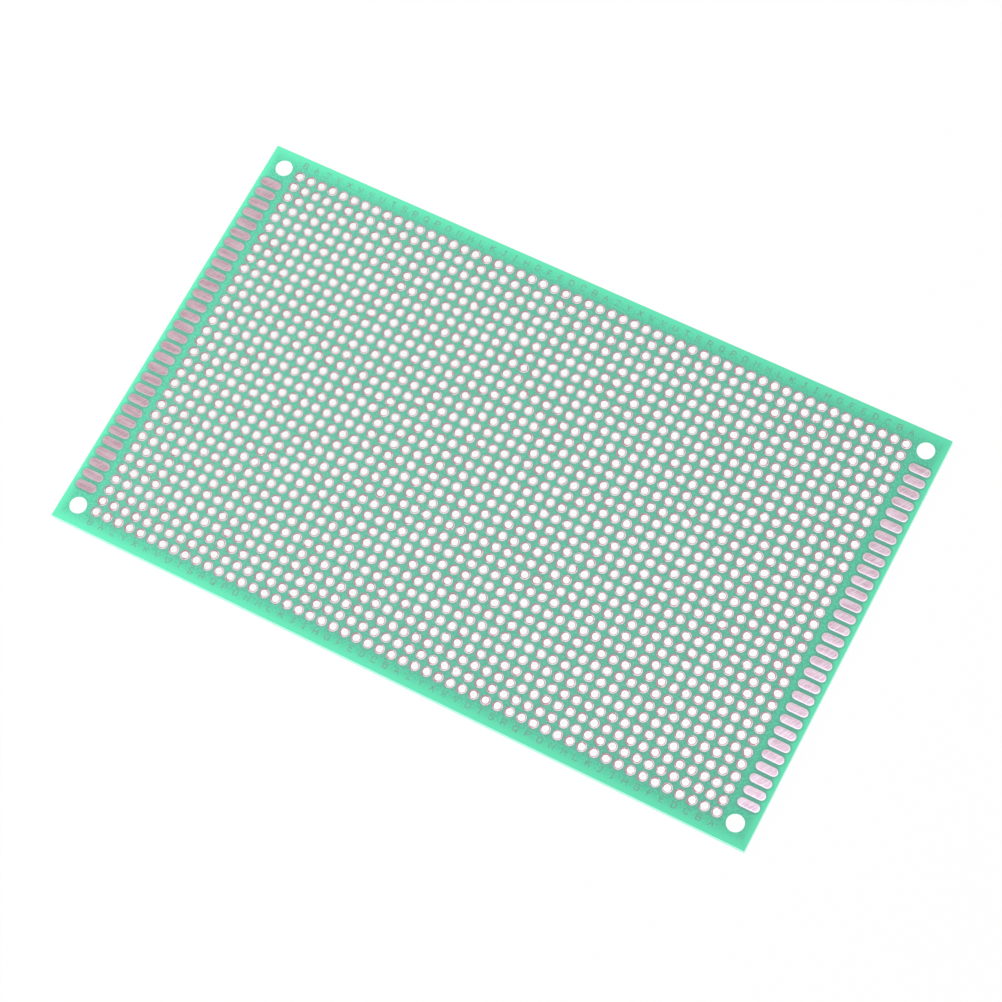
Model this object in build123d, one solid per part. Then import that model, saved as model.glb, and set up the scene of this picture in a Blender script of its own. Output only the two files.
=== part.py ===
# Prototype circuit board: a glass fibre board with a full grid of plated lead holes,
# four mounting holes, and a row of tinned pads along each short edge, on both faces.
# The origin is under the middle of the board, on the plane the underside pads rest on.
# +X runs along the long side, +Y along the short side, and +Z out of the top face.
import os
from math import floor, hypot

from build123d import *

# Overall size in mm, the thickness taken over the pads of both faces
board_length = 150.0
board_width = 90.0
overall_thickness = 1.6

# Grid of lead holes
hole_pitch = 2.54
lead_hole_diameter = 1.0
land_diameter = 2.0

# Room that the grid leaves free along the edges
letter_strip_width = 3.0
land_to_edge_pad_gap = 1.0

# Mounting holes, one in each corner
mounting_hole_diameter = 3.5
mounting_inset_x = 3.75
mounting_inset_y = 4.0
mounting_clearance = 0.5

# Tinned pads along the short edges, with fully rounded ends
edge_pad_length = 4.5
edge_pad_width = 1.8
edge_pad_inset = 0.85
pad_thickness = 0.05

# Sizes that follow from those above
laminate_thickness = overall_thickness - 2 * pad_thickness
laminate_bottom = pad_thickness
laminate_top = laminate_bottom + laminate_thickness
land_radius = land_diameter / 2
mounting_hole_radius = mounting_hole_diameter / 2
mounting_x = board_length / 2 - mounting_inset_x
mounting_y = board_width / 2 - mounting_inset_y
edge_pad_centre_x = board_length / 2 - edge_pad_inset - edge_pad_length / 2


# Places along one direction, a pitch apart and centred, as many as the room takes
def centred_places(room):
    count = floor(room / hole_pitch) + 1
    return [(index - (count - 1) / 2) * hole_pitch for index in range(count)]


# Columns of the grid, between the edge pads of the two short edges
def column_places():
    reach = edge_pad_centre_x - edge_pad_length / 2 - land_to_edge_pad_gap - land_radius
    return centred_places(2 * reach)


# Rows of the grid, between the letter strips of the two long edges
def row_places():
    reach = board_width / 2 - letter_strip_width - land_radius
    return centred_places(2 * reach)


def mounting_places():
    return [(x, y) for x in (-mounting_x, mounting_x) for y in (-mounting_y, mounting_y)]


# A spot is clear when something of this radius there keeps its distance from the mounting holes
def clear_of_mounting_holes(x, y, radius):
    least = mounting_hole_radius + mounting_clearance + radius
    return all(hypot(x - mx, y - my) > least for mx, my in mounting_places())


def lead_hole_places():
    grid = [(x, y) for x in column_places() for y in row_places()]
    return [(x, y) for x, y in grid if clear_of_mounting_holes(x, y, land_radius)]


# The edge pads stand halfway between the rows, wherever a mounting hole leaves them room
def edge_pad_rows():
    rows = row_places()
    halfway = [(low + high) / 2 for low, high in zip(rows, rows[1:])]
    room = mounting_y - mounting_hole_radius - mounting_clearance - edge_pad_width / 2
    return [y for y in halfway if abs(y) < room]


def hole_wire(x, y, diameter):
    return Wire.make_circle(diameter / 2, Plane((x, y, laminate_bottom)))


# Green board with every hole drilled through it
def make_board():
    outline = Plane((0, 0, laminate_bottom)) * Rectangle(board_length, board_width)
    holes = [hole_wire(x, y, lead_hole_diameter) for x, y in lead_hole_places()]
    holes += [hole_wire(x, y, mounting_hole_diameter) for x, y in mounting_places()]
    return extrude(Face(outline.wire(), holes), laminate_thickness)


# One row of edge pads, from the height of its lower face up
def make_edge_pads(x, z):
    pad = extrude(SlotOverall(edge_pad_length, edge_pad_width), pad_thickness)
    return Compound(children=[Pos(x, y, z) * pad for y in edge_pad_rows()])


def make_parts():
    return {
        "board": make_board(),
        "left_edge_pads_top": make_edge_pads(-edge_pad_centre_x, laminate_top),
        "right_edge_pads_top": make_edge_pads(edge_pad_centre_x, laminate_top),
        "left_edge_pads_bottom": make_edge_pads(-edge_pad_centre_x, 0),
        "right_edge_pads_bottom": make_edge_pads(edge_pad_centre_x, 0),
    }


os.makedirs("parts", exist_ok=True)
for node, shape in make_parts().items():
    export_step(shape, os.path.join("parts", node + ".step"))
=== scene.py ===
import math

import bmesh
import bpy
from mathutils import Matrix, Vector


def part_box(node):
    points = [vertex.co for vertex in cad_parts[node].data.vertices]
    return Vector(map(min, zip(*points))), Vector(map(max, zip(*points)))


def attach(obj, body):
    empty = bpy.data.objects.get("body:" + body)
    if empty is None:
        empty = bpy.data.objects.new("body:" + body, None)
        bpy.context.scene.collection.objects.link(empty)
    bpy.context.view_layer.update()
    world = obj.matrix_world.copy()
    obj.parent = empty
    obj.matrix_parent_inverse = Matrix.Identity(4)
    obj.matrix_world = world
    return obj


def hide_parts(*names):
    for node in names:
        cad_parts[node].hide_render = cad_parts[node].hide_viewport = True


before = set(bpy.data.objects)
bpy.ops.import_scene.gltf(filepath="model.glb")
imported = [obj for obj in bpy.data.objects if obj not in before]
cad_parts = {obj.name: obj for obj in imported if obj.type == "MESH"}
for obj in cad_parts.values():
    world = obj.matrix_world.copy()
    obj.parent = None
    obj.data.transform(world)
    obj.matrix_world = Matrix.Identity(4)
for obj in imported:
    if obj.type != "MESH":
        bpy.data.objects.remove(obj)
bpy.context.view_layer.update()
print("frame loaded:", sorted(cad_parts))

mm = 0.001
scene = bpy.context.scene

# the photograph's view: place in mm from the middle of the underside, turns in degrees,
# lens and sensor in mm, and the nearest and farthest that it sees in metres
photoView = {
    "place": (138.21, -163.41, 511.91),
    "turns": (21.755, 5.0, 28.01),
    "lens": 102.95,
    "sensor": 36.0,
    "nearest": 0.01,
    "farthest": 20.0,
}


def addCamera():
    data = bpy.data.cameras.new("photoCamera")
    data.lens = photoView["lens"]
    data.sensor_width = photoView["sensor"]
    data.clip_start = photoView["nearest"]
    data.clip_end = photoView["farthest"]
    camera = bpy.data.objects.new("photoCamera", data)
    camera.location = Vector(photoView["place"]) * mm
    camera.rotation_euler = [math.radians(turn) for turn in photoView["turns"]]
    scene.collection.objects.link(camera)
    scene.camera = camera


addCamera()
print("camera placed")


# corners of a solid, in mm
def cornersOf(node):
    return [Vector([round(part / mm, 3) for part in corner]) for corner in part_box(node)]


boardLow, boardHigh = cornersOf("board")
padLow, padHigh = cornersOf("right_edge_pads_top")

# board sizes in mm: outline and pads as the solids have them, and the grid that they follow
boardSizes = {
    "halfLength": boardHigh.x,
    "halfWidth": boardHigh.y,
    "underside": boardLow.z,
    "topFace": boardHigh.z,
    "padTop": padHigh.z,
    "pitch": 2.54,
    "columns": 54,
    "rows": 33,
    "padCount": 30,
    "padLength": padHigh.x - padLow.x,
    "padCentreX": (padHigh.x + padLow.x) / 2,
}
boardSizes["padWidth"] = padHigh.y - padLow.y - (boardSizes["padCount"] - 1) * boardSizes["pitch"]
boardSizes["padStraight"] = boardSizes["padLength"] - boardSizes["padWidth"]
boardSizes["padThick"] = boardSizes["padTop"] - boardSizes["topFace"]
boardSizes["lastColumn"] = (boardSizes["columns"] - 1) / 2 * boardSizes["pitch"]
boardSizes["lastRow"] = (boardSizes["rows"] - 1) / 2 * boardSizes["pitch"]


# node helpers: a node with its settings and socket values, and a link between two sockets
def addNode(tree, kind, settings=None, values=None):
    node = tree.nodes.new(kind)
    for key, value in (settings or {}).items():
        setattr(node, key, value)
    for key, value in (values or {}).items():
        node.inputs[key].default_value = value
    return node


def join(tree, fromSocket, toSocket):
    tree.links.new(fromSocket, toSocket)


# a socket takes either another node's output or a plain value
def feed(tree, socket, value):
    if hasattr(value, "is_linked"):
        join(tree, value, socket)
    else:
        socket.default_value = value


def mathNode(tree, operation, first, second=0.0):
    node = addNode(tree, "ShaderNodeMath", {"operation": operation})
    feed(tree, node.inputs[0], first)
    feed(tree, node.inputs[1], second)
    return node.outputs[0]


def plus(tree, first, second):
    return mathNode(tree, "ADD", first, second)


def minus(tree, first, second):
    return mathNode(tree, "SUBTRACT", first, second)


def times(tree, first, second):
    return mathNode(tree, "MULTIPLY", first, second)


def over(tree, first, second):
    return mathNode(tree, "DIVIDE", first, second)


def larger(tree, first, second):
    return mathNode(tree, "MAXIMUM", first, second)


def smaller(tree, first, second):
    return mathNode(tree, "MINIMUM", first, second)


def sizeOf(tree, value):
    return mathNode(tree, "ABSOLUTE", value)


# smooth step of a value from one stretch to another
def rangeNode(tree, value, fromStretch, toStretch=(0.0, 1.0)):
    node = addNode(tree, "ShaderNodeMapRange", {"interpolation_type": "SMOOTHSTEP"})
    for label, number in zip(("From Min", "From Max", "To Min", "To Max"), (*fromStretch, *toStretch)):
        node.inputs[label].default_value = number
    join(tree, value, node.inputs["Value"])
    return node.outputs["Result"]


def mixValue(tree, mask, first, second):
    node = addNode(tree, "ShaderNodeMix", {"data_type": "FLOAT"})
    for slot, value in ((0, mask), (2, first), (3, second)):
        feed(tree, node.inputs[slot], value)
    return node.outputs[0]


def mixColour(tree, mask, first, second, blend="MIX"):
    node = addNode(tree, "ShaderNodeMix", {"data_type": "RGBA", "blend_type": blend})
    for slot, value in ((0, mask), (6, first), (7, second)):
        feed(tree, node.inputs[slot], value)
    return node.outputs[2]


def splitPlace(tree, place):
    apart = addNode(tree, "ShaderNodeSeparateXYZ")
    join(tree, place, apart.inputs[0])
    return apart.outputs


def noiseNode(tree, place, scale, detail, roughness=0.5):
    node = addNode(tree, "ShaderNodeTexNoise", None, {"Detail": detail, "Roughness": roughness})
    feed(tree, node.inputs["Scale"], scale)
    join(tree, place, node.inputs["Vector"])
    return node.outputs["Fac"]


def newGroup(name, inputs, outputs):
    group = bpy.data.node_groups.new(name, "ShaderNodeTree")
    for label, kind, value in inputs:
        socket = group.interface.new_socket(name=label, in_out="INPUT", socket_type=kind)
        if value is not None:
            socket.default_value = value
    for label in outputs:
        group.interface.new_socket(name=label, in_out="OUTPUT", socket_type="NodeSocketFloat")
    return group, addNode(group, "NodeGroupInput").outputs, addNode(group, "NodeGroupOutput").inputs


# distance in mm from the middle of the nearest hole of the grid, and how far that is toward one side
def makeHoleDistance():
    group, start, end = newGroup(
        "holeDistance",
        [
            ("Place", "NodeSocketVector", None),
            ("Pitch", "NodeSocketFloat", boardSizes["pitch"]),
            ("Toward", "NodeSocketVector", (0.0, 0.0, 0.0)),
        ],
        ["Distance", "Side"],
    )
    apart = splitPlace(group, start["Place"])
    # the rows lie on whole pitches, the columns on halves
    across = mathNode(group, "FRACT", over(group, apart["X"], start["Pitch"]))
    along = mathNode(group, "FRACT", plus(group, over(group, apart["Y"], start["Pitch"]), 0.5))
    way = addNode(group, "ShaderNodeCombineXYZ")
    join(group, times(group, minus(group, across, 0.5), start["Pitch"]), way.inputs["X"])
    join(group, times(group, minus(group, along, 0.5), start["Pitch"]), way.inputs["Y"])
    far = addNode(group, "ShaderNodeVectorMath", {"operation": "LENGTH"})
    join(group, way.outputs[0], far.inputs[0])
    side = addNode(group, "ShaderNodeVectorMath", {"operation": "DOT_PRODUCT"})
    join(group, way.outputs[0], side.inputs[0])
    join(group, start["Toward"], side.inputs[1])
    join(group, far.outputs["Value"], end["Distance"])
    join(group, side.outputs["Value"], end["Side"])
    return group


# distance in mm from the outline of the nearest edge pad, below zero on the pad
def makePadDistance():
    group, start, end = newGroup("padDistance", [("Place", "NodeSocketVector", None)], ["Distance"])
    apart = splitPlace(group, start["Place"])
    along = minus(group, sizeOf(group, apart["X"]), boardSizes["padCentreX"])
    along = larger(group, minus(group, sizeOf(group, along), boardSizes["padStraight"] / 2), 0.0)
    # each pad lies halfway between two rows, and past the last one the last one stays the nearest
    last = boardSizes["padCount"] / 2
    row = mathNode(group, "FLOOR", over(group, apart["Y"], boardSizes["pitch"]))
    row = larger(group, smaller(group, row, last - 1), -last)
    centre = times(group, plus(group, row, 0.5), boardSizes["pitch"])
    across = minus(group, apart["Y"], centre)
    square = plus(group, times(group, along, along), times(group, across, across))
    join(group, minus(group, mathNode(group, "SQRT", square), boardSizes["padWidth"] / 2), end["Distance"])
    return group


# how far the threads of the glass cloth stray in mm, and how often they turn
clothWeave = {"stray": 0.5, "strayScale": 0.6, "strayDetail": 2.0}


# glass cloth: two sets of threads that pass over and under each other
def makeGlassCloth():
    group, start, end = newGroup(
        "glassCloth",
        [("Place", "NodeSocketVector", None), ("Threads", "NodeSocketFloat", 1.0)],
        ["Weave"],
    )
    straying = noiseNode(group, start["Place"], clothWeave["strayScale"], clothWeave["strayDetail"])
    shift = times(group, straying, clothWeave["stray"])
    apart = splitPlace(group, start["Place"])
    turns = over(group, 2 * math.pi, start["Threads"])
    warp = mathNode(group, "SINE", times(group, plus(group, apart["X"], shift), turns))
    weft = mathNode(group, "SINE", times(group, plus(group, apart["Y"], shift), turns))
    crossing = times(group, warp, weft)
    join(group, plus(group, times(group, crossing, 0.5), 0.5), end["Weave"])
    return group


# the two layers of an uneven coat, and how much finer than the blotches its grain is
coatLayers = {
    "blotchDetail": 3.0,
    "blotchRoughness": 0.55,
    "finer": 6.0,
    "grainDetail": 2.0,
    "grainRoughness": 0.6,
}


# uneven coat: soft blotches and a finer grain
def makeSolderCoat():
    group, start, end = newGroup(
        "solderCoat",
        [
            ("Place", "NodeSocketVector", None),
            ("Blotch", "NodeSocketFloat", 1.0),
            ("Stretch", "NodeSocketVector", (1.0, 1.0, 1.0)),
        ],
        ["Coat", "Grain"],
    )
    pull = addNode(group, "ShaderNodeVectorMath", {"operation": "MULTIPLY"})
    join(group, start["Place"], pull.inputs[0])
    join(group, start["Stretch"], pull.inputs[1])
    layers = coatLayers
    where = pull.outputs[0]
    blotches = noiseNode(group, where, start["Blotch"], layers["blotchDetail"], layers["blotchRoughness"])
    finer = times(group, start["Blotch"], layers["finer"])
    grain = noiseNode(group, where, finer, layers["grainDetail"], layers["grainRoughness"])
    join(group, blotches, end["Coat"])
    join(group, grain, end["Grain"])
    return group


holeDistance = makeHoleDistance()
padDistance = makePadDistance()
glassCloth = makeGlassCloth()
solderCoat = makeSolderCoat()


# a material with its shader, and the place on the object in mm
def newMaterial(name):
    material = bpy.data.materials.new(name)
    material.use_nodes = True
    tree = material.node_tree
    tree.nodes.clear()
    output = addNode(tree, "ShaderNodeOutputMaterial")
    shader = addNode(tree, "ShaderNodeBsdfPrincipled")
    join(tree, shader.outputs[0], output.inputs["Surface"])
    where = addNode(tree, "ShaderNodeTexCoord")
    place = addNode(tree, "ShaderNodeVectorMath", {"operation": "SCALE"}, {"Scale": 1 / mm})
    join(tree, where.outputs["Object"], place.inputs[0])
    return material, tree, shader.inputs, place.outputs[0]


def useGroup(tree, group, place, values=None):
    node = addNode(tree, "ShaderNodeGroup", {"node_tree": group}, values)
    join(tree, place, node.inputs["Place"])
    return node.outputs


def addBump(tree, shader, height, strength, rise):
    bump = addNode(tree, "ShaderNodeBump", None, {"Strength": strength, "Distance": rise * mm})
    join(tree, height, bump.inputs["Height"])
    join(tree, bump.outputs[0], shader["Normal"])


# green solder mask on the two faces; lengths in mm
maskFinish = {
    "gridGreen": (0.122, 0.518, 0.365, 1),
    "openGreen": (0.107, 0.580, 0.367, 1),
    # painted light along the board's edges
    "edgeLightGreen": (0.132, 0.815, 0.475, 1),
    # painted shade around the lands
    "landShadeGreen": (0.260, 0.345, 0.275, 1),
    # painted shade along the pads
    "padShadeGreen": (0.130, 0.260, 0.225, 1),
    "darkTone": (0.76, 0.83, 0.83, 1),
    "lightTone": (1.24, 1.17, 1.16, 1),
    "toneStretch": (0.25, 0.75),
    "threads": 0.9,
    "threadShare": 0.08,
    "threadRelief": 0.3,                    # of the threads in the bump, beside the grain
    "blotch": 0.45,
    "gridFade": (1.1, 1.5),                 # past the last row and column
    # where the painted shade around the lands starts and ends
    "landShadeStart": (1.0, 1.04),
    "landShadeEnd": (1.06, 1.38),
    "landShadeShare": 0.5,
    # where the painted shade along the pads ends
    "padShadeEnd": (0.28, 0.52),
    "padShadeShare": 0.52,
    "padShadeFade": (1.5, 2.3),               # from the middle of a pad toward its ends
    "padShadeEndShare": 0.5,
    "edgeLightSides": (                          # axis, way, width and strength of the painted edge light along each side
        ("X", 1, 2.2, 1.0),
        ("X", -1, 2.3, 0.95),
        ("Y", 1, 3.4, 0.9),
        ("Y", -1, 3.2, 1.0),
    ),
    "faceTilt": (0.4, 0.6),                 # how far up a surface has to look to be a face
    "roughness": 0.42,
    "bump": 0.1,
    "bumpRise": 0.04,
    "specular": 0.4,
}

# bare laminate on the cut walls, with painted light of a bright mint on the outer walls near both faces,
# and a painted glow on every wall
wallFinish = {
    "laminate": (0.86, 0.95, 0.88, 1),
    "fibre": (0.93, 0.95, 0.88, 1),
    # painted light: a bright mint on the outer walls near both faces
    "paintedMint": (0.14, 0.88, 0.64, 1),
    "layerStretch": (0.5, 0.5, 7.0),
    "layerDetail": 3.0,
    "fibreStretch": (0.4, 0.62),
    "outerReach": (0.2, 0.6),               # how far in from the outline a wall counts as outer
    "tintHeights": (0.1, 0.7),              # from the middle of the wall to its edges
    "tintShares": (0.35, 1.0),
    # painted light: how strongly the walls glow
    "paintedGlow": 0.3,
    "roughness": 0.75,
}


# painted light: the mask is painted brighter along the board's edges, each side by its own width
def paintedEdgeLight(tree, apart):
    paintedGlow = None
    for axis, way, width, share in maskFinish["edgeLightSides"]:
        reach = boardSizes["halfLength"] if axis == "X" else boardSizes["halfWidth"]
        inward = minus(tree, reach, times(tree, apart[axis], way))
        side = rangeNode(tree, inward, (0.0, width), (share, 0.0))
        paintedGlow = side if paintedGlow is None else larger(tree, paintedGlow, side)
    return paintedGlow


# 1 where the grid of holes is, fading to 0 past its last rows and columns
def gridMask(tree, apart):
    near, far = maskFinish["gridFade"]
    columns = (boardSizes["lastColumn"] + near, boardSizes["lastColumn"] + far)
    rows = (boardSizes["lastRow"] + near, boardSizes["lastRow"] + far)
    inColumns = rangeNode(tree, sizeOf(tree, apart["X"]), columns, (1.0, 0.0))
    inRows = rangeNode(tree, sizeOf(tree, apart["Y"]), rows, (1.0, 0.0))
    return times(tree, inColumns, inRows)


# painted shade: around every land the mask is darker and a little brown
def landShade(tree, place, inGrid):
    around = useGroup(tree, holeDistance, place)["Distance"]
    starts = rangeNode(tree, around, maskFinish["landShadeStart"])
    ends = rangeNode(tree, around, maskFinish["landShadeEnd"], (maskFinish["landShadeShare"], 0.0))
    return times(tree, times(tree, starts, ends), inGrid)


# painted shade: along every pad the mask is darker, less so round the ends
def padShade(tree, place, apart):
    beside = useGroup(tree, padDistance, place)["Distance"]
    band = rangeNode(tree, beside, maskFinish["padShadeEnd"], (maskFinish["padShadeShare"], 0.0))
    fromMiddle = sizeOf(tree, minus(tree, sizeOf(tree, apart["X"]), boardSizes["padCentreX"]))
    along = rangeNode(tree, fromMiddle, maskFinish["padShadeFade"], (1.0, maskFinish["padShadeEndShare"]))
    return times(tree, band, along)


def maskColour(tree, place, tone):
    apart = splitPlace(tree, place)
    inGrid = gridMask(tree, apart)
    green = mixColour(tree, inGrid, maskFinish["openGreen"], maskFinish["gridGreen"])
    mottle = mixColour(tree, tone, maskFinish["darkTone"], maskFinish["lightTone"])
    green = mixColour(tree, 1.0, green, mottle, "MULTIPLY")
    # painted light: a brighter green along the edges
    green = mixColour(tree, paintedEdgeLight(tree, apart), green, maskFinish["edgeLightGreen"])
    # painted shade around the lands
    green = mixColour(tree, landShade(tree, place, inGrid), green, maskFinish["landShadeGreen"])
    # painted shade along the pads
    return mixColour(tree, padShade(tree, place, apart), green, maskFinish["padShadeGreen"])


# pale layers of glass cloth, end on
def wallColour(tree, place):
    flat = addNode(tree, "ShaderNodeVectorMath", {"operation": "MULTIPLY"})
    flat.inputs[1].default_value = wallFinish["layerStretch"]
    join(tree, place, flat.inputs[0])
    layers = noiseNode(tree, flat.outputs[0], 1.0, wallFinish["layerDetail"])
    layers = rangeNode(tree, layers, wallFinish["fibreStretch"])
    laminate = mixColour(tree, layers, wallFinish["laminate"], wallFinish["fibre"])
    apart = splitPlace(tree, place)
    fromEnd = minus(tree, boardSizes["halfLength"], sizeOf(tree, apart["X"]))
    fromSide = minus(tree, boardSizes["halfWidth"], sizeOf(tree, apart["Y"]))
    outer = rangeNode(tree, smaller(tree, fromEnd, fromSide), wallFinish["outerReach"], (1.0, 0.0))
    middle = (boardSizes["topFace"] + boardSizes["underside"]) / 2
    height = sizeOf(tree, minus(tree, apart["Z"], middle))
    mintLight = rangeNode(tree, height, wallFinish["tintHeights"], wallFinish["tintShares"])
    # painted light: the outer walls are painted mint near both faces
    return mixColour(tree, times(tree, outer, mintLight), laminate, wallFinish["paintedMint"])


# 1 on the two faces, 0 on every wall
def faceMask(tree):
    facing = addNode(tree, "ShaderNodeNewGeometry")
    upright = splitPlace(tree, facing.outputs["Normal"])
    return rangeNode(tree, sizeOf(tree, upright["Z"]), maskFinish["faceTilt"])


def makeBoardMaterial():
    material, tree, shader, place = newMaterial("greenSolderMask")
    cloth = useGroup(tree, glassCloth, place, {"Threads": maskFinish["threads"]})["Weave"]
    grain = useGroup(tree, solderCoat, place, {"Blotch": maskFinish["blotch"]})["Grain"]
    tone = mixValue(tree, maskFinish["threadShare"], grain, cloth)
    green = maskColour(tree, place, rangeNode(tree, tone, maskFinish["toneStretch"]))
    wall = wallColour(tree, place)
    onFace = faceMask(tree)
    join(tree, mixColour(tree, onFace, wall, green), shader["Base Color"])
    roughness = (wallFinish["roughness"], maskFinish["roughness"])
    join(tree, rangeNode(tree, onFace, (0.0, 1.0), roughness), shader["Roughness"])
    # painted light: the walls glow in their own colour, as if light came through the glass and resin
    join(tree, mixColour(tree, onFace, wall, (0.0, 0.0, 0.0, 1)), shader["Emission Color"])
    shader["Emission Strength"].default_value = wallFinish["paintedGlow"]
    relief = plus(tree, times(tree, cloth, maskFinish["threadRelief"]), grain)
    addBump(tree, shader, relief, maskFinish["bump"], maskFinish["bumpRise"])
    shader["Specular IOR Level"].default_value = maskFinish["specular"]
    return material


# lands: tin over copper, white where the coat is thick and pale pink past it, with painted shade in a
# darker pink on the left side and in a dark line near the hole; lengths in mm
landFinish = {
    "thick": (1.0, 0.985, 0.985, 1),
    "even": (0.91, 0.765, 0.805, 1),
    # painted shade on one side of every land
    "shadedPink": (0.63, 0.35, 0.40, 1),
    # painted shade in a dark line near the hole
    "creaseShade": (0.36, 0.11, 0.17, 1),
    # the side of every land where the painted shade falls
    "shadedSide": (-0.22, 0.07, 0.0),
    "blotch": 0.8,
    "patchiness": 1.6,
    "patchStretch": (-0.05, 0.2),
    "wander": 0.3,                          # how far the edge of the thick coat strays
    "thickEnd": (0.70, 0.75),
    "creaseStart": (0.73, 0.77),
    "creaseEnd": (0.81, 0.87),
    "creaseStretch": (0.36, 0.56),
    "creaseShares": (0.35, 1.0),
    "roughness": (0.46, 0.6),
    "bump": 0.25,
    "bumpRise": 0.02,
}

grainStretch = (0.3, 0.7)                   # where most of a coat's grain lies


# painted shade: toward the left side of every hole the land is painted a darker pink, in patches
def makeLandMaterial():
    material, tree, shader, place = newMaterial("tinnedLand")
    around = useGroup(tree, holeDistance, place, {"Toward": landFinish["shadedSide"]})
    coat = useGroup(tree, solderCoat, place, {"Blotch": landFinish["blotch"]})
    uneven = minus(tree, coat["Coat"], 0.5)
    patch = plus(tree, around["Side"], times(tree, uneven, landFinish["patchiness"]))
    patch = rangeNode(tree, patch, landFinish["patchStretch"])
    # painted shade on one side of every land, in patches
    ring = mixColour(tree, patch, landFinish["even"], landFinish["shadedPink"])
    # painted shade: a dark line where the thick coat ends close to the hole, darker in some stretches than
    # in others
    spread = plus(tree, around["Distance"], times(tree, uneven, landFinish["wander"]))
    starts = rangeNode(tree, spread, landFinish["creaseStart"])
    ends = rangeNode(tree, spread, landFinish["creaseEnd"], (1.0, 0.0))
    depth = rangeNode(tree, coat["Grain"], landFinish["creaseStretch"], landFinish["creaseShares"])
    ring = mixColour(tree, times(tree, times(tree, starts, ends), depth), ring, landFinish["creaseShade"])
    pastThick = rangeNode(tree, spread, landFinish["thickEnd"])
    join(tree, mixColour(tree, pastThick, landFinish["thick"], ring), shader["Base Color"])
    join(tree, rangeNode(tree, coat["Grain"], grainStretch, landFinish["roughness"]), shader["Roughness"])
    addBump(tree, shader, coat["Grain"], landFinish["bump"], landFinish["bumpRise"])
    shader["Metallic"].default_value = 1.0
    return material


# barrels: the same tin, thick all the way down
barrelFinish = {
    "dull": (1.0, 0.985, 0.985, 1),
    "bright": (1.0, 0.99, 0.99, 1),
    "blotch": 1.6,
    "roughness": (0.18, 0.3),
    "bump": 0.15,
    "bumpRise": 0.02,
}


def makeBarrelMaterial():
    material, tree, shader, place = newMaterial("tinnedBarrel")
    coat = useGroup(tree, solderCoat, place, {"Blotch": barrelFinish["blotch"]})
    colour = mixColour(tree, coat["Coat"], barrelFinish["dull"], barrelFinish["bright"])
    join(tree, colour, shader["Base Color"])
    join(tree, rangeNode(tree, coat["Grain"], grainStretch, barrelFinish["roughness"]), shader["Roughness"])
    addBump(tree, shader, coat["Grain"], barrelFinish["bump"], barrelFinish["bumpRise"])
    shader["Metallic"].default_value = 1.0
    return material


# pads: a thin streaky coat, with a painted highlight along the rim
padFinish = {
    "light": (0.725, 0.52, 0.58, 1),
    "dark": (0.565, 0.365, 0.42, 1),
    # painted highlight along the rim of every pad
    "rim": (0.84, 0.70, 0.76, 1),
    "scratch": (0.88, 0.80, 0.90, 1),
    "blotch": 0.6,
    "stretch": (0.3, 1.5, 1.0),
    "grainShare": 0.2,
    "toneStretch": (0.36, 0.64),
    "scratchTurn": 59.0,
    "scratchSize": (2.2, 0.17, 1.0),
    "scratchDetail": 3.0,
    "scratchStretch": (0.49, 0.64),
    "scratchShare": 0.5,
    # where the painted rim highlight starts, and how strong it is
    "rimStart": (-0.34, -0.12),
    "rimShare": 0.7,
    "leftLightShare": 0.4,                        # painted light: how much of the marks and the rim highlight the left pads show
    "lightStep": (-1.0, 1.0),                # from left to right, on either side of the middle
    "roughness": (0.22, 0.32),
    "bump": 0.3,
    "bumpRise": 0.03,
}


# fine wipe marks that cross the pads, all one way
def wipeMarks(tree, place):
    turned = addNode(tree, "ShaderNodeMapping", {"vector_type": "TEXTURE"})
    turned.inputs["Rotation"].default_value = (0.0, 0.0, math.radians(padFinish["scratchTurn"]))
    turned.inputs["Scale"].default_value = padFinish["scratchSize"]
    join(tree, place, turned.inputs["Vector"])
    marks = noiseNode(tree, turned.outputs[0], 1.0, padFinish["scratchDetail"])
    return rangeNode(tree, marks, padFinish["scratchStretch"], (0.0, padFinish["scratchShare"]))


def makePadMaterial():
    material, tree, shader, place = newMaterial("tinnedPad")
    streaky = {"Blotch": padFinish["blotch"], "Stretch": padFinish["stretch"]}
    coat = useGroup(tree, solderCoat, place, streaky)
    edge = useGroup(tree, padDistance, place)["Distance"]
    tone = mixValue(tree, padFinish["grainShare"], coat["Coat"], coat["Grain"])
    streaks = rangeNode(tree, tone, padFinish["toneStretch"])
    colour = mixColour(tree, streaks, padFinish["dark"], padFinish["light"])
    across = splitPlace(tree, place)["X"]
    # painted light: the right pads show their marks and rim highlight in full, the left pads less
    litRight = rangeNode(tree, across, padFinish["lightStep"], (padFinish["leftLightShare"], 1.0))
    marks = times(tree, wipeMarks(tree, place), litRight)
    colour = mixColour(tree, marks, colour, padFinish["scratch"])
    # painted highlight along the rim of every pad
    rimHighlight = rangeNode(tree, edge, padFinish["rimStart"], (0.0, padFinish["rimShare"]))
    rimHighlight = times(tree, rimHighlight, litRight)
    join(tree, mixColour(tree, rimHighlight, colour, padFinish["rim"]), shader["Base Color"])
    join(tree, rangeNode(tree, coat["Coat"], grainStretch, padFinish["roughness"]), shader["Roughness"])
    addBump(tree, shader, coat["Coat"], padFinish["bump"], padFinish["bumpRise"])
    shader["Metallic"].default_value = 1.0
    return material


# letters of copper under the mask, which shows them darker and a little brown
letterFinish = {
    "green": (0.126, 0.455, 0.316, 1),
    "brown": (0.240, 0.430, 0.335, 1),
    "blotch": 0.8,
    "brownStretch": (0.35, 0.65),
    "roughness": (0.36, 0.48),
}


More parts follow.
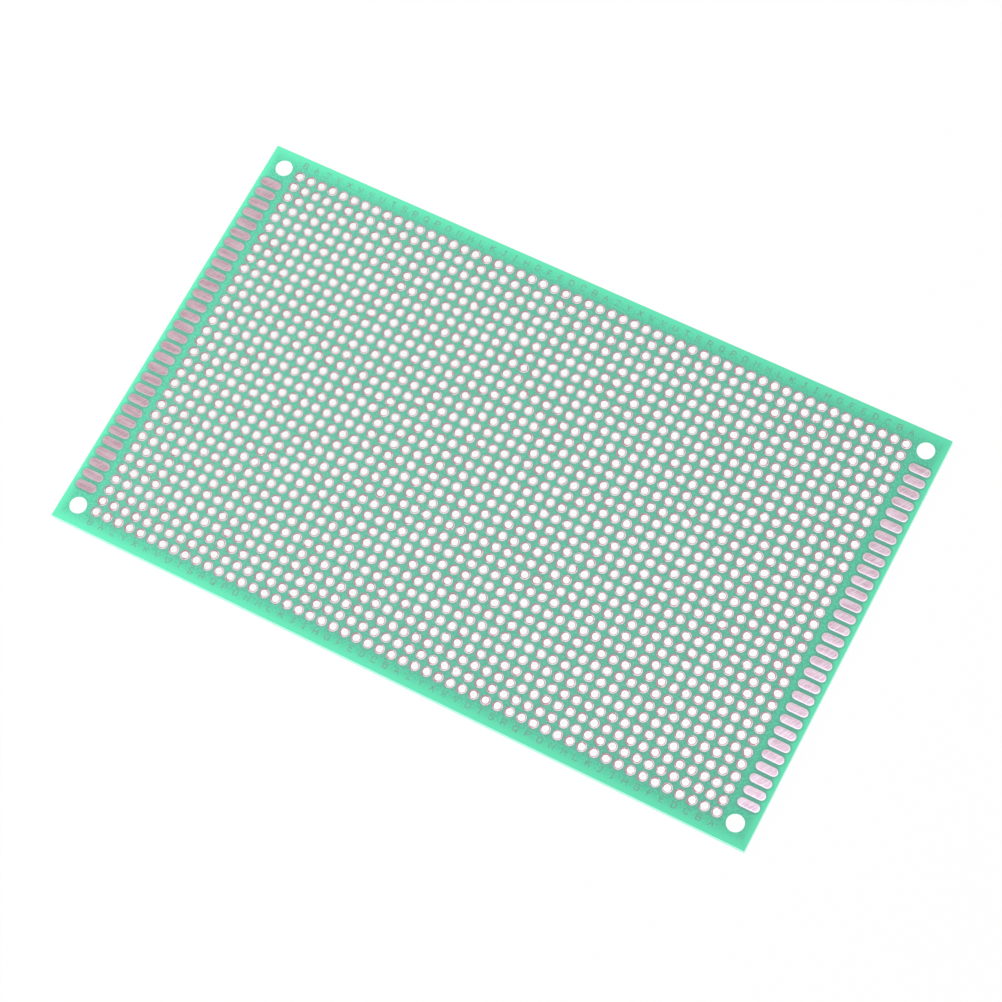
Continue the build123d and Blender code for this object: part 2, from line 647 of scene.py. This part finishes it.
def makeLetterMaterial():
    material, tree, shader, place = newMaterial("coveredLetter")
    coat = useGroup(tree, solderCoat, place, {"Blotch": letterFinish["blotch"]})
    browner = rangeNode(tree, coat["Grain"], letterFinish["brownStretch"])
    join(tree, mixColour(tree, browner, letterFinish["green"], letterFinish["brown"]), shader["Base Color"])
    join(tree, rangeNode(tree, coat["Coat"], grainStretch, letterFinish["roughness"]), shader["Roughness"])
    shader["Specular IOR Level"].default_value = maskFinish["specular"]
    return material


landTin = makeLandMaterial()
barrelTin = makeBarrelMaterial()
padTin = makePadMaterial()
letterMask = makeLetterMaterial()

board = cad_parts["board"]
board.data.materials.clear()
board.data.materials.append(makeBoardMaterial())
print("materials made")


# a finished piece from its mesh, riding on the board, smooth up to an angle in degrees
def newPiece(name, bm, materials, sharpAngle):
    mesh = bpy.data.meshes.new(name)
    bmesh.ops.recalc_face_normals(bm, faces=bm.faces[:])
    bm.to_mesh(mesh)
    bm.free()
    for material in materials:
        mesh.materials.append(material)
    mesh.polygons.foreach_set("use_smooth", [True] * len(mesh.polygons))
    mesh.set_sharp_from_angle(angle=math.radians(sharpAngle))
    piece = bpy.data.objects.new(name, mesh)
    scene.collection.objects.link(piece)
    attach(piece, "root")
    return piece


def addArray(piece, name, count, step):
    array = piece.modifiers.new(name, "ARRAY")
    array.count = count
    array.use_relative_offset = False
    array.use_constant_offset = True
    array.constant_offset_displace = Vector(step) * mm


# a closed ring of points around a middle, all at one height
def addRing(bm, points, x, y, z):
    return [bm.verts.new(((x + px) * mm, (y + py) * mm, z * mm)) for px, py in points]


# faces between two rings of as many points
def addBand(bm, low, high, materialIndex=0):
    for k in range(len(low)):
        n = (k + 1) % len(low)
        face = bm.faces.new((low[k], low[n], high[n], high[k]))
        face.material_index = materialIndex


# one plated hole: land on each face and the barrel between, as a closed ring; lengths in mm
platedHole = {
    "sides": 18,
    "strips": 6,
    "landRadius": 1.045,
    "boreRadius": 0.48,
    "drillRadius": 0.5,
    "rimShares": ((1.0, 0.0), (0.975, 0.7), (0.9, 1.0)),
    "throatRadius": 0.60,
    "throatDrop": 0.018,
    "sharpAngle": 35,
}


# radius and height around the section of a plated hole, and which stretch is the barrel
def holeProfile():
    hole = platedHole
    face = boardSizes["topFace"]
    rim = [(hole["landRadius"] * r, face + boardSizes["padThick"] * z) for r, z in hole["rimShares"]]
    throat = (hole["throatRadius"], boardSizes["padTop"])
    bore = (hole["boreRadius"], boardSizes["padTop"] - hole["throatDrop"])
    top = rim + [throat, bore]
    bottom = [(r, boardSizes["padTop"] - z) for r, z in reversed(top)]
    back = [(hole["drillRadius"], boardSizes["underside"]), (hole["drillRadius"], face)]
    return top + bottom + back, len(top) - 1


def circlePoints(radius, sides):
    angles = [2 * math.pi * k / sides for k in range(sides)]
    return [(radius * math.cos(angle), radius * math.sin(angle)) for angle in angles]


def addPlatedHoles():
    profile, barrelBand = holeProfile()
    perStrip = boardSizes["columns"] // platedHole["strips"]
    for strip in range(platedHole["strips"]):
        x = strip * perStrip * boardSizes["pitch"] - boardSizes["lastColumn"]
        bm = bmesh.new()
        rings = []
        for radius, z in profile:
            points = circlePoints(radius, platedHole["sides"])
            rings.append(addRing(bm, points, x, -boardSizes["lastRow"], z))
        for band, (low, high) in enumerate(zip(rings, rings[1:] + rings[:1])):
            addBand(bm, low, high, 1 if band == barrelBand else 0)
        name = f"platedHoles{strip + 1}"
        piece = newPiece(name, bm, [landTin, barrelTin], platedHole["sharpAngle"])
        addArray(piece, "columns", perStrip, (boardSizes["pitch"], 0, 0))
        addArray(piece, "rows", boardSizes["rows"], (0, boardSizes["pitch"], 0))


addPlatedHoles()
print("plated holes:", boardSizes["columns"] * boardSizes["rows"])

# tinned pads along the short edges: flat, with fully rounded ends and a soft edge
edgePads = {
    "arcSteps": 12,
    "sectionShares": ((0.0, 0.0), (0.012, 0.7), (0.05, 0.93), (0.2, 1.0)),  # in from the outline, and up
    "sharpAngle": 35,
}


def padOutline(inset):
    radius = boardSizes["padWidth"] / 2 - inset
    points = []
    for end in (1, -1):
        for k in range(edgePads["arcSteps"] + 1):
            angle = math.pi * (k / edgePads["arcSteps"] - 0.5)
            along = boardSizes["padStraight"] / 2 + radius * math.cos(angle)
            points.append((end * along, end * radius * math.sin(angle)))
    return points


def addPadRow(side, sign, face, base, up):
    x = sign * boardSizes["padCentreX"]
    y = -(boardSizes["padCount"] - 1) / 2 * boardSizes["pitch"]
    bm = bmesh.new()
    rings = []
    for inset, rise in edgePads["sectionShares"]:
        z = base + up * boardSizes["padThick"] * rise
        rings.append(addRing(bm, padOutline(inset * boardSizes["padWidth"]), x, y, z))
    for low, high in zip(rings, rings[1:]):
        addBand(bm, low, high)
    bm.faces.new(rings[0])
    bm.faces.new(rings[-1])
    name = f"{side}EdgePads{face.title()}"
    piece = newPiece(name, bm, [padTin], edgePads["sharpAngle"])
    addArray(piece, "pads", boardSizes["padCount"], (0, boardSizes["pitch"], 0))
    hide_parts(f"{side}_edge_pads_{face}")


for side, sign in (("left", -1), ("right", 1)):
    addPadRow(side, sign, "top", boardSizes["topFace"], 1)
    addPadRow(side, sign, "bottom", boardSizes["underside"], -1)
print("edge pads:", 4 * boardSizes["padCount"])

# strokes that several letters share, as shares of a letter's width and height
leftBowl = ((0.75, 1), (0.25, 1), (0, 0.75), (0, 0.25), (0.25, 0), (0.75, 0))
roundBowl = (*leftBowl, (1, 0.25), (1, 0.75), (0.75, 1))
openBowl = ((1, 0.8), *leftBowl, (1, 0.2))
leftStem = ((0, 0), (0, 1))
headLoop = ((0, 1), (0.7, 1), (1, 0.85), (1, 0.6), (0.7, 0.46), (0, 0.46))

# column letters along both long edges, one for each column, counted from the right; lengths in mm
columnLetters = {
    "height": 1.2,
    "width": 0.9,
    "stroke": 0.12,
    "rise": 0.03,
    "roundness": 1,
    "sharpAngle": 60,
    "rows": (("Far", 43.3), ("Near", -42.95)),
    "strokes": {
        "A": (((0, 0), (0.5, 1), (1, 0)), ((0.2, 0.38), (0.8, 0.38))),
        "B": (
            leftStem,
            ((0, 1), (0.7, 1), (0.95, 0.86), (0.95, 0.66), (0.7, 0.52), (0, 0.52)),
            ((0.7, 0.52), (1, 0.36), (1, 0.16), (0.75, 0), (0, 0)),
        ),
        "C": (openBowl,),
        "D": (leftStem, ((0, 1), (0.6, 1), (1, 0.7), (1, 0.3), (0.6, 0), (0, 0))),
        "E": (((0.9, 1), (0.1, 1), (0.1, 0), (0.9, 0)), ((0.1, 0.52), (0.75, 0.52))),
        "F": (((0.9, 1), (0.1, 1), (0.1, 0)), ((0.1, 0.52), (0.75, 0.52))),
        "G": (openBowl, ((1, 0.2), (1, 0.45), (0.6, 0.45))),
        "H": (leftStem, ((1, 0), (1, 1)), ((0, 0.5), (1, 0.5))),
        "I": (((0.5, 0), (0.5, 1)), ((0.25, 1), (0.75, 1)), ((0.25, 0), (0.75, 0))),
        "J": (((0.4, 1), (0.95, 1)), ((0.7, 1), (0.7, 0.25), (0.5, 0), (0.25, 0), (0.05, 0.2))),
        "K": (leftStem, ((1, 1), (0, 0.4)), ((0.3, 0.58), (1, 0))),
        "L": (((0, 1), (0, 0), (0.95, 0)),),
        "M": (((0, 0), (0, 1), (0.5, 0.4), (1, 1), (1, 0)),),
        "N": (((0, 0), (0, 1), (1, 0), (1, 1)),),
        "O": (roundBowl,),
        "P": (leftStem, headLoop),
        "Q": (roundBowl, ((0.6, 0.3), (1, -0.05))),
        "R": (leftStem, headLoop, ((0.55, 0.46), (1, 0))),
        "S": (
            ((1, 0.84), (0.75, 1), (0.25, 1), (0, 0.82), (0, 0.66), (0.25, 0.52), (0.75, 0.48)),
            ((0.75, 0.48), (1, 0.34), (1, 0.18), (0.75, 0), (0.25, 0), (0, 0.16)),
        ),
        "T": (((0, 1), (1, 1)), ((0.5, 1), (0.5, 0))),
        "U": (((0, 1), (0, 0.25), (0.25, 0), (0.75, 0), (1, 0.25), (1, 1)),),
        "V": (((0, 1), (0.5, 0), (1, 1)),),
        "W": (((0, 1), (0.25, 0), (0.5, 0.65), (0.75, 0), (1, 1)),),
        "X": (((0, 0), (1, 1)), ((0, 1), (1, 0))),
        "Y": (((0, 1), (0.5, 0.5), (1, 1)), ((0.5, 0.5), (0.5, 0))),
        "Z": (((0, 1), (1, 1), (0, 0), (1, 0)),),
    },
}


# one letter's strokes as lines of the curve, the right way round for the face it is on
def addLetter(curve, letter, x, y, way):
    for stroke in columnLetters["strokes"][letter]:
        line = curve.splines.new("POLY")
        line.points.add(len(stroke) - 1)
        for point, (u, v) in zip(line.points, stroke):
            px = x + way * (u - 0.5) * columnLetters["width"]
            py = y + (v - 0.5) * columnLetters["height"]
            point.co = (px * mm, py * mm, 0, 1)


# a row of letters as one round-stroked mesh, lying at height zero
def letterMesh(name, y, way):
    curve = bpy.data.curves.new(name, "CURVE")
    curve.dimensions = "3D"
    curve.bevel_depth = columnLetters["stroke"] * mm
    curve.bevel_resolution = columnLetters["roundness"]
    curve.use_fill_caps = True
    letters = sorted(columnLetters["strokes"])
    for column in range(boardSizes["columns"]):
        x = boardSizes["lastColumn"] - column * boardSizes["pitch"]
        addLetter(curve, letters[column % len(letters)], x, y, way)
    row = bpy.data.objects.new(name + "Row", curve)
    scene.collection.objects.link(row)
    bpy.context.view_layer.update()
    mesh = bpy.data.meshes.new_from_object(row.evaluated_get(bpy.context.evaluated_depsgraph_get()))
    bpy.data.objects.remove(row)
    return mesh


# the strokes are pressed flat, and only the half that stands out of the face is kept
def addLetterRow(name, y, level, way):
    bm = bmesh.new()
    bm.from_mesh(letterMesh(name, y, way))
    for vert in bm.verts:
        rise = vert.co.z * columnLetters["rise"] / columnLetters["stroke"]
        vert.co.z = level * mm + way * max(way * rise, 0.0)
    newPiece(name, bm, [letterMask], columnLetters["sharpAngle"])


for edge, y in columnLetters["rows"]:
    addLetterRow(f"columnLettersTop{edge}", y, boardSizes["topFace"], 1)
    addLetterRow(f"columnLettersBottom{edge}", y, boardSizes["underside"], -1)
print("column letters:", 4 * boardSizes["columns"])

# plain white floor, which keeps a faint shadow of the board; lengths in metres
floorFinish = {
    "half": 3.0,
    "drop": 0.00002,
    "colour": (0.9, 0.9, 0.9, 1),
    "white": (1.0, 1.0, 1.0, 1),
    "whiteShare": 0.97,
}


# 1 where the camera, a reflection or a see-through surface looks, 0 for soft light
def seenDirectly(tree):
    path = addNode(tree, "ShaderNodeLightPath").outputs
    seen = larger(tree, path["Is Camera Ray"], path["Is Glossy Ray"])
    return larger(tree, seen, path["Is Transmission Ray"])


def makeFloorMaterial():
    material = bpy.data.materials.new("whiteFloor")
    material.use_nodes = True
    tree = material.node_tree
    tree.nodes.clear()
    output = addNode(tree, "ShaderNodeOutputMaterial")
    matte = addNode(tree, "ShaderNodeBsdfDiffuse", None, {"Color": floorFinish["colour"]})
    white = addNode(tree, "ShaderNodeEmission", None, {"Color": floorFinish["white"], "Strength": 1.0})
    mix = addNode(tree, "ShaderNodeMixShader")
    join(tree, times(tree, seenDirectly(tree), floorFinish["whiteShare"]), mix.inputs[0])
    join(tree, matte.outputs[0], mix.inputs[1])
    join(tree, white.outputs[0], mix.inputs[2])
    join(tree, mix.outputs[0], output.inputs["Surface"])
    return material


def addFloor():
    half = floorFinish["half"]
    corners = [(-half, -half), (half, -half), (half, half), (-half, half)]
    bm = bmesh.new()
    bm.faces.new([bm.verts.new((x, y, -floorFinish["drop"])) for x, y in corners])
    mesh = bpy.data.meshes.new("whiteFloor")
    bm.to_mesh(mesh)
    bm.free()
    mesh.materials.append(makeFloorMaterial())
    floor = bpy.data.objects.new("whiteFloor", mesh)
    scene.collection.objects.link(floor)


addFloor()

# soft studio light: a pale sky and two large panels, with places and sizes in metres
studio = {
    "skyColour": (1.0, 1.0, 1.0, 1),
    "softSky": 0.63,
    "whiteSky": 1.0,
    "leftDim": 0.78,                        # of the sky as metal shows it, at the left
    "leftReach": (-0.95, -0.05),
    "farDim": 0.90,                         # and the share of it that is left at the far side
    "farReach": (0.22, 0.42),
    "panels": (
        {
            "name": "leftPanel",
            "place": (-0.28, 0.0, 0.27),
            "size": 0.2,
            "energy": 0.78,
            "colour": (1.0, 1.0, 1.0),
            "mirrored": False,
        },
        {
            "name": "topPanel",
            "place": (0.06, 0.06, 0.9),
            "size": 0.42,
            "energy": 0.55,
            "colour": (0.66, 0.84, 1.0),
            "mirrored": True,
        },
    ),
}


# how bright the sky is: soft light, white as a background, and in metal dimmer to the left and far away
def skyStrength(tree):
    where = addNode(tree, "ShaderNodeTexCoord")
    apart = splitPlace(tree, where.outputs["Generated"])
    fromLeft = rangeNode(tree, apart["X"], studio["leftReach"], (studio["leftDim"], studio["whiteSky"]))
    fromFar = rangeNode(tree, apart["Y"], studio["farReach"], (1.0, studio["farDim"]))
    mirrored = times(tree, fromLeft, fromFar)
    path = addNode(tree, "ShaderNodeLightPath").outputs
    strength = mixValue(tree, seenDirectly(tree), studio["softSky"], studio["whiteSky"])
    return mixValue(tree, path["Is Glossy Ray"], strength, mirrored)


def addSky():
    world = bpy.data.worlds.new("paleSky")
    world.use_nodes = True
    scene.world = world
    sky = world.node_tree.nodes["Background"]
    sky.inputs["Color"].default_value = studio["skyColour"]
    join(world.node_tree, skyStrength(world.node_tree), sky.inputs["Strength"])


def addPanel(panel):
    data = bpy.data.lights.new(panel["name"], "AREA")
    data.size = panel["size"]
    data.energy = panel["energy"]
    data.color = panel["colour"]
    lamp = bpy.data.objects.new(panel["name"], data)
    lamp.location = panel["place"]
    lamp.visible_glossy = panel["mirrored"]
    lamp.rotation_euler = (-Vector(panel["place"])).to_track_quat("-Z", "Y").to_euler()
    scene.collection.objects.link(lamp)


addSky()
for panel in studio["panels"]:
    addPanel(panel)
scene.view_settings.view_transform = "Standard"
print("floor and light set")
